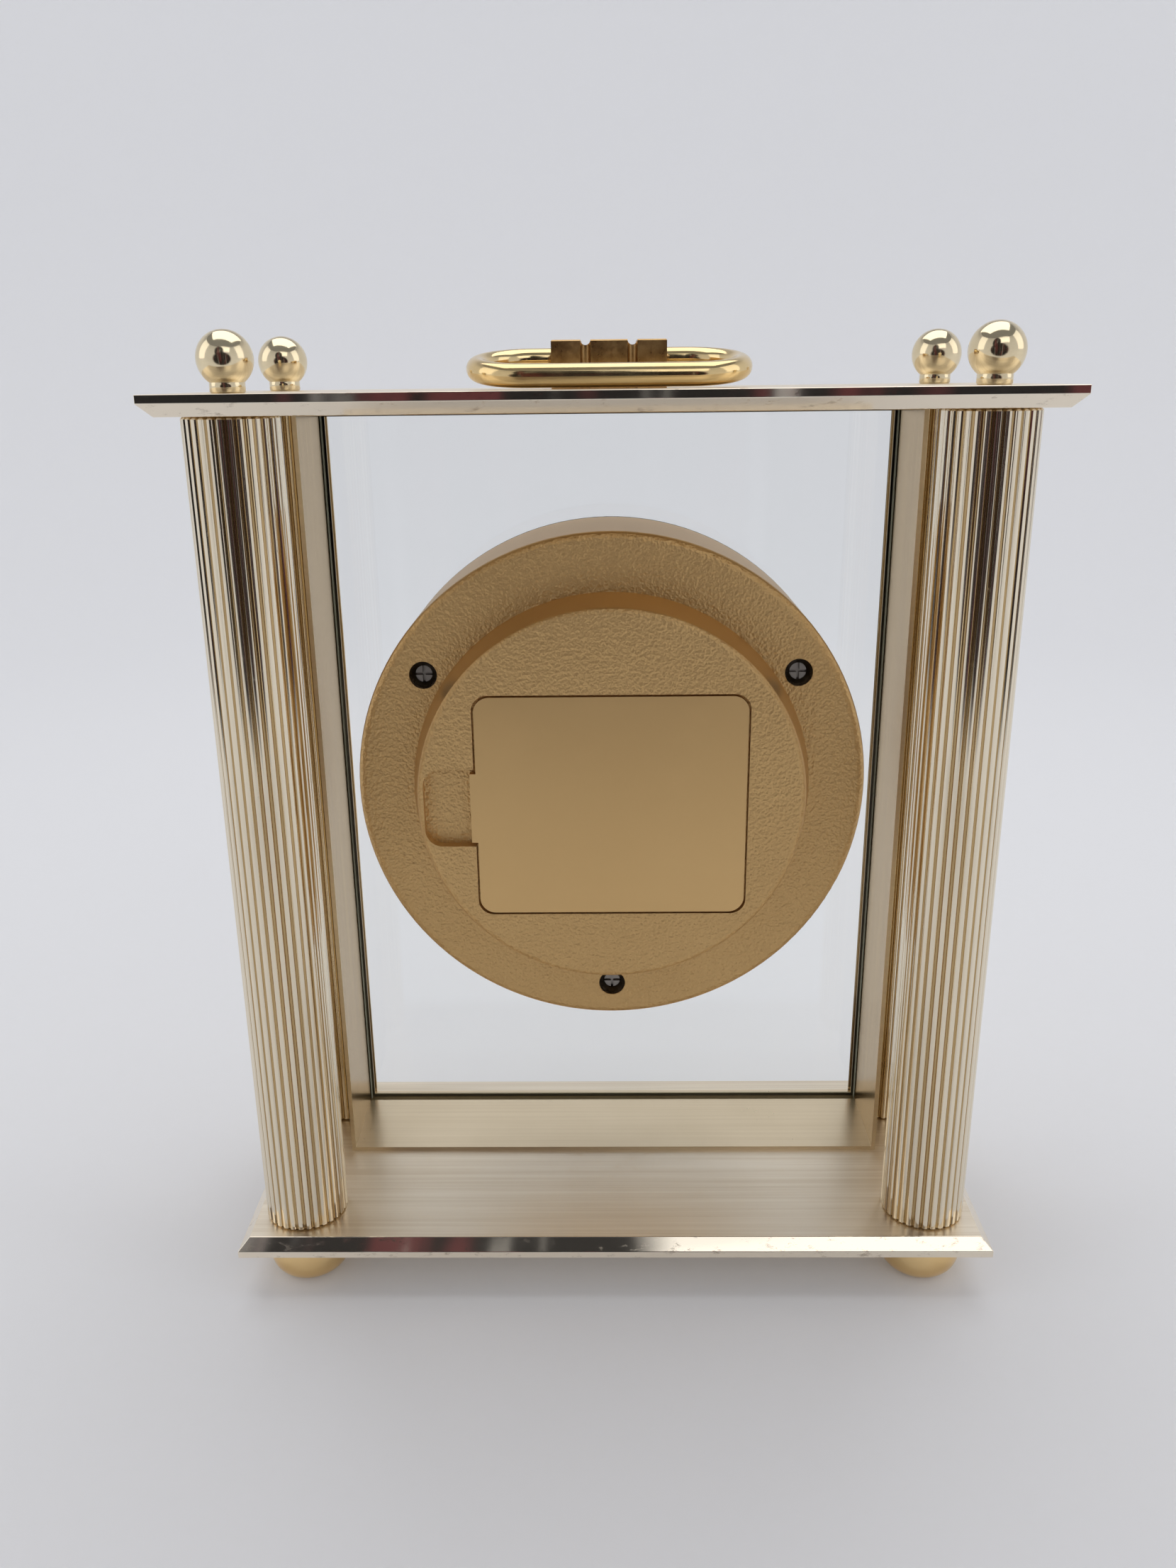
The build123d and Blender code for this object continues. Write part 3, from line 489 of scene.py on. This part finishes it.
def addStage(s):
    deselect()
    bpy.ops.mesh.primitive_circle_add(vertices=s["round"], radius=s["floor"], fill_type="NGON",
                                      location=(0, 0, 0))
    bowl = named("paperSweep")
    radius, height = s["floor"], 0.0
    rings = []
    for step in range(1, s["steps"] + 1):
        angle = math.radians(90.0 * step / s["steps"])
        rings.append((s["floor"] + s["bend"] * math.sin(angle), s["bend"] * (1 - math.cos(angle))))
    rings.append((s["floor"] + s["bend"], s["bend"] + s["wall"]))
    pick(bowl, "EDGE", lambda edge: True)
    for nextRadius, nextHeight in rings:
        factor = nextRadius / radius
        bpy.ops.mesh.extrude_edges_move(TRANSFORM_OT_translate={"value": (0, 0, nextHeight - height)})
        bpy.ops.transform.resize(value=(factor, factor, 1), center_override=(0, 0, nextHeight))
        radius, height = nextRadius, nextHeight
    bpy.ops.object.mode_set(mode="OBJECT")
    bpy.ops.object.shade_smooth()
    f = Finish("paperWhite", Roughness=0.9)
    paper = f.noise(300.0, (1, 1, 1), 2.0)
    shade = s["shade"]
    pale = shade * 1.01
    f.feed("Base Color", f.blend(paper, tint(shade, shade, pale), tint(pale, pale, shade * 1.03)))
    f.surface.inputs["Emission Color"].default_value = tint(0.93, 0.95, 1.0)
    f.surface.inputs["Emission Strength"].default_value = s["glow"]
    dress(bowl, f.material)


lampAim = Vector((0, 0, 0.1))
softboxes = [
    {"name": "topBox", "place": (0.0, -0.3, 1.25), "width": 1.3, "height": 1.1, "power": 6.6},
    {"name": "backBox", "place": (-0.15, 0.85, 0.85), "width": 0.9, "height": 0.4, "power": 1.0},
    {"name": "leftBox", "place": (0.95, 0.1, 0.6), "width": 0.6, "height": 0.8, "power": 0.95},
    {"name": "rightBox", "place": (-0.95, 0.1, 0.6), "width": 0.6, "height": 0.8, "power": 0.95},
]


def addSoftbox(s):
    bpy.ops.object.light_add(type="AREA", location=s["place"])
    lamp = bpy.context.object
    lamp.name = s["name"]
    lamp.data.shape = "RECTANGLE"
    lamp.data.size = s["width"]
    lamp.data.size_y = s["height"]
    lamp.data.energy = s["power"]
    lamp.rotation_euler = (Vector(s["place"]) - lampAim).to_track_quat("Z", "Y").to_euler()
    lamp.visible_camera = False


# soft dark flags behind the camera, which the polished brass mirrors
flags = [
    {"name": "flagLow", "place": (0.02, 0.45, 0.22), "half": (0.34, 0.22)},
    {"name": "flagHigh", "place": (0.12, 0.46, 0.49), "half": (0.17, 0.21)},
]


def flagCloth(s):
    # streaks of black and wine that fade away towards an oval edge
    f = Finish(s["name"] + "Cloth", Roughness=0.9)
    side = (f.axis("X") - s["place"][0]) / s["half"][0]
    rise = (f.axis("Z") - s["place"][2]) / s["half"][1]
    streak = f.noise(1.0, (30, 1, 3), 2.0)
    wine = f.ramp(streak, (0.52, 0.0), (0.62, 1.0))
    gap = f.ramp(f.noise(1.0, (44, 5, 2), 1.0), (0.60, 1.0), (0.70, 0.5))
    f.feed("Base Color", f.blend(wine, tint(0.012, 0.011, 0.012), tint(0.13, 0.035, 0.04)))
    f.feed("Alpha", f.ramp(side * side + rise * rise, (0.65, 1.0), (1.0, 0.0)) * gap)
    return f.material


def addFlag(s):
    deselect()
    bpy.ops.mesh.primitive_plane_add(size=2, location=s["place"], rotation=(math.radians(90), 0, 0))
    bpy.context.object.scale = (s["half"][0], s["half"][1], 1)
    card = named(s["name"])
    dress(card, flagCloth(s))
    card.visible_camera = False
    card.visible_transmission = False
    card.visible_shadow = False


roomSet = {"shade": tint(0.90, 0.93, 1.0), "strength": 0.25}


def addRoom(s):
    world = bpy.data.worlds.new("paleRoom")
    world.use_nodes = True
    background = world.node_tree.nodes["Background"]
    background.inputs["Color"].default_value = s["shade"]
    background.inputs["Strength"].default_value = s["strength"]
    scene.world = world
    scene.view_settings.view_transform = "Standard"


addStage(stageSet)
for softbox in softboxes:
    addSoftbox(softbox)
for flag in flags:
    addFlag(flag)
addRoom(roomSet)
print("stage and lights")


# plates

plateSet = {"bevelHeight": 2.48 * mm, "bevelInset": 2.41 * mm, "edge": 0.12 * mm}


def makePlate(node, up, s):
    low, high, size, middle = sizeOf(node)
    straight = size.z - s["bevelHeight"]
    centre = (low.z + straight / 2) if up > 0 else (high.z - straight / 2)
    deselect()
    bpy.ops.mesh.primitive_cube_add(size=1, location=(middle.x, middle.y, centre))
    bpy.context.object.scale = (size.x, size.y, straight)
    piece = named(node + "Looks")
    pick(piece, "FACE", lambda face: face.normal.z * up > 0.9)
    bpy.ops.mesh.extrude_region_move(TRANSFORM_OT_translate={"value": (0, 0, up * s["bevelHeight"])})
    shrink = [1 - 2 * s["bevelInset"] / side for side in (size.x, size.y)]
    bpy.ops.transform.resize(value=(shrink[0], shrink[1], 1))
    bpy.ops.object.mode_set(mode="OBJECT")
    soften(piece, s["edge"], 3, 20)
    bpy.ops.object.shade_flat()  # keeps the mirror faces flat
    settle(piece, "stand", "plate_gold", node)


makePlate("base_plate", 1, plateSet)
makePlate("top_plate", -1, plateSet)
print("plates")


# fluted columns: a ring of crowned ribs extruded upwards and drawn in at both ends
# the crown says how far each point across one rib and flute lies inside the radius, in mm
columnSet = {"ribs": 31, "radius": columnRadius, "end": 0.6 * mm,
             "crown": (0.07, 0.015, 0.0, 0.015, 0.07, 0.40, 0.44, 0.40)}
notchSet = {"gap": 0.2 * mm, "spare": 2.0 * mm}


def makeColumn(name, place, length, s):
    x, y, z = place
    steps = len(s["crown"])
    deselect()
    bpy.ops.mesh.primitive_circle_add(vertices=s["ribs"] * steps, radius=s["radius"], fill_type="NGON",
                                      location=place)
    piece = named(name)
    for step, cut in enumerate(s["crown"]):
        pick(piece, "VERT", lambda vertex: vertex.index % steps == step)
        factor = 1 - cut * mm / s["radius"]
        bpy.ops.transform.resize(value=(factor, factor, 1), center_override=place)
    bpy.ops.mesh.select_all(action="SELECT")
    bpy.ops.mesh.flip_normals()
    shrink = 1 - s["end"] / s["radius"]
    bpy.ops.mesh.extrude_region_move(TRANSFORM_OT_translate={"value": (0, 0, s["end"])})
    bpy.ops.mesh.extrude_region_move(TRANSFORM_OT_translate={"value": (0, 0, length - 2 * s["end"])})
    bpy.ops.mesh.extrude_region_move(TRANSFORM_OT_translate={"value": (0, 0, s["end"])})
    bpy.ops.transform.resize(value=(shrink, shrink, 1), center_override=(x, y, z + length))
    bpy.ops.object.mode_set(mode="OBJECT")
    pick(piece, "VERT", lambda vertex: vertex.co.z < z + s["end"] / 2)
    bpy.ops.transform.resize(value=(shrink, shrink, 1), center_override=place)
    bpy.ops.object.mode_set(mode="OBJECT")
    return piece


def notchColumn(piece, low, high, s):
    # room for the corner of the glazing frame
    gap, spare = s["gap"], s["spare"]
    frameLow, _, frameSize, _ = sizeOf("glazing_frame")
    deselect()
    bpy.ops.mesh.primitive_cube_add(size=1, location=(0, (frameLow.y - gap + spare) / 2, (low.z + high.z) / 2))
    cutter = bpy.context.object
    cutter.scale = (frameSize.x + 2 * gap, spare + gap - frameLow.y, high.z - low.z + 2 * spare)
    bpy.ops.object.transform_apply(location=True, rotation=True, scale=True)
    cut = piece.modifiers.new("notch", "BOOLEAN")
    cut.operation = "DIFFERENCE"
    cut.solver = "EXACT"
    cut.object = cutter
    deselect()
    piece.select_set(True)
    bpy.context.view_layer.objects.active = piece
    bpy.ops.object.modifier_apply(modifier=cut.name)
    bpy.data.objects.remove(cutter)


cornerNames = [end + "_" + side for end in ("rear", "front") for side in ("left", "right")]
low, high, size, _ = sizeOf("column_rear_left")
firstColumn = makeColumn("column_rear_leftLooks", (-columnPlace[0], columnPlace[1], low.z), size.z, columnSet)
for corner in cornerNames:
    piece = firstColumn
    if corner != "rear_left":
        across = 2 * columnPlace[0] if "right" in corner else 0.0
        forward = -2 * columnPlace[1] if "front" in corner else 0.0
        piece = copied(firstColumn, "column_" + corner + "Looks", (across, forward, 0))
    if "front" in corner:
        notchColumn(piece, low, high, notchSet)
    deselect()
    piece.select_set(True)
    bpy.context.view_layer.objects.active = piece
    bpy.ops.object.shade_smooth_by_angle(angle=math.radians(25))
    settle(piece, "stand", "column_gold", "column_" + corner)
print("columns")


# finials and feet

finialSet = {"ball": 5.6 * mm, "centre": 6.47 * mm, "neck": 3.5 * mm, "neckTop": 1.9 * mm, "neckIn": 0.25 * mm,
             "neckEdge": 0.3 * mm, "hidden": 0.86, "pole": 0.02 * mm, "rings": 28}
footSet = {"height": 12.0 * mm, "radius": 10.04 * mm, "seat": 8.2 * mm, "floor": 5.0 * mm, "floorIn": 0.4 * mm,
           "floorEdge": 0.05 * mm, "widest": 0.52, "swell": 2.2, "rings": 22}


def finialProfile(s):
    points = [(s["neck"] - s["neckIn"], 0.0), (s["neck"], s["neckEdge"]), (s["neck"], s["neckTop"])]
    start = math.asin(s["neck"] * s["hidden"] / s["ball"])
    for ring in range(s["rings"] + 1):
        angle = start + (math.pi - start) * ring / s["rings"]
        radius = max(s["ball"] * math.sin(angle), s["pole"])
        height = s["centre"] - s["ball"] * math.cos(angle)
        if height > points[-1][1]:
            points.append((radius, height))
    return points


def footProfile(s):
    points = [(s["floor"] - s["floorIn"], 0.0), (s["floor"], s["floorEdge"])]
    middle = s["height"] * s["widest"]
    for ring in range(1, s["rings"] + 1):
        height = s["height"] * ring / s["rings"]
        if height < middle:
            share = 1 - height / middle
            radius = s["floor"] + (s["radius"] - s["floor"]) * math.sqrt(1 - share ** s["swell"])
        else:
            share = (height - middle) / (s["height"] - middle)
            radius = s["radius"] - (s["radius"] - s["seat"]) * share ** 2
        points.append((radius, height))
    return points


def setCorners(kind, first, material):
    # the first piece stands at the rear left corner, copies of it at the others
    start = sizeOf(kind + "_rear_left")[3]
    for corner in cornerNames:
        node = kind + "_" + corner
        piece = first if corner == "rear_left" else copied(first, node + "Looks", sizeOf(node)[3] - start)
        settle(piece, "stand", "polished_brass", node, material=material)


low, _, _, middle = sizeOf("finial_rear_left")
ball = turned("finial_rear_leftLooks", (middle.x, middle.y, low.z), finialProfile(finialSet))
setCorners("finial", soften(ball, 0.02 * mm, 1, 40), paleBrass)
low, _, _, middle = sizeOf("foot_rear_left")
bun = turned("foot_rear_leftLooks", (middle.x, middle.y, low.z), footProfile(footSet), 72)
setCorners("foot", soften(bun, 0.02 * mm, 1, 50), footBrass)
print("finials and feet")


# handle: a bar bent round from the block's left pin to its right one, resting on the plate behind
handleSet = {"bar": 2.35 * mm, "reach": 22.0 * mm, "straight": 16.2 * mm, "pin": 7.1 * mm, "round": 28,
             "bendSteps": 28, "pivot": 5.9 * mm, "restAngle": 8.495, "merge": 0.01 * mm}


def makeHandle(s):
    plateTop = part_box("top_plate")[1][2]
    bend = s["reach"] / 2
    deselect()
    bpy.ops.mesh.primitive_circle_add(vertices=s["round"], radius=s["bar"], fill_type="NGON",
                                      location=(s["pin"], 0, 0), rotation=(0, math.radians(90), 0))
    piece = named("handle_loopLooks")
    bpy.ops.object.mode_set(mode="EDIT")
    bpy.ops.mesh.select_all(action="SELECT")
    run = s["straight"] - s["pin"]
    bpy.ops.mesh.extrude_region_move(TRANSFORM_OT_translate={"value": (run, 0, 0)})
    bpy.ops.mesh.spin(steps=s["bendSteps"], angle=-math.pi, center=(s["straight"], bend, 0), axis=(0, 0, 1))
    bpy.ops.mesh.extrude_region_move(TRANSFORM_OT_translate={"value": (-2 * s["straight"], 0, 0)})
    bpy.ops.mesh.spin(steps=s["bendSteps"], angle=-math.pi, center=(-s["straight"], bend, 0), axis=(0, 0, 1))
    bpy.ops.mesh.extrude_region_move(TRANSFORM_OT_translate={"value": (run, 0, 0)})
    bpy.ops.mesh.select_all(action="SELECT")
    bpy.ops.mesh.remove_doubles(threshold=s["merge"])
    bpy.ops.mesh.normals_make_consistent(inside=False)
    bpy.ops.object.mode_set(mode="OBJECT")
    piece.rotation_euler = (math.radians(-s["restAngle"]), 0, 0)
    piece.location = (0, 0, plateTop + s["pivot"])
    bpy.ops.object.transform_apply(location=True, rotation=True, scale=True)
    soften(piece, 0.05 * mm, 2, 60)
    settle(piece, "handle", "polished_brass", "handle_loop")


makeHandle(handleSet)
print("handle")


# printed minute track of the dial
trackSet = {"count": 60, "circle": 49.6 * mm, "long": 2.4 * mm, "short": 1.4 * mm, "wide": 0.7 * mm,
            "thin": 0.3 * mm, "lift": 0.1 * mm}


def makeTick(name, face, s, wide, long):
    # a printed stroke at twelve with softened corners
    deselect()
    bpy.ops.mesh.primitive_cube_add(size=1, location=(0, face - s["lift"] / 2, dialHeight + s["circle"]))
    bpy.context.object.scale = (wide, s["lift"], long)
    return soften(named(name), 0.04 * mm, 1, 60)


def makeTrack(s):
    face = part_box("dial_plate")[0][1]
    hourTick = makeTick("hourTick", face, s, s["wide"], s["long"])
    minuteTick = makeTick("minuteTick", face, s, s["thin"], s["short"])
    middle = Matrix.Translation((0, 0, dialHeight))
    ticks = []
    for count in range(s["count"]):
        tick = copied(hourTick if count % 5 == 0 else minuteTick, "tick" + str(count), (0, 0, 0))
        turn = Matrix.Rotation(2 * math.pi * count / s["count"], 4, "Y")
        tick.matrix_world = middle @ turn @ middle.inverted()
        ticks.append(tick)
    for tick in (hourTick, minuteTick):
        bpy.data.objects.remove(tick)
    deselect()
    for tick in ticks:
        tick.select_set(True)
    bpy.context.view_layer.objects.active = ticks[0]
    bpy.ops.object.transform_apply(location=True, rotation=True, scale=True)
    bpy.ops.object.join()
    piece = named("minuteTrack")
    settle(piece, "stand", "marker_black")


makeTrack(trackSet)
print("dial print")

deselect()
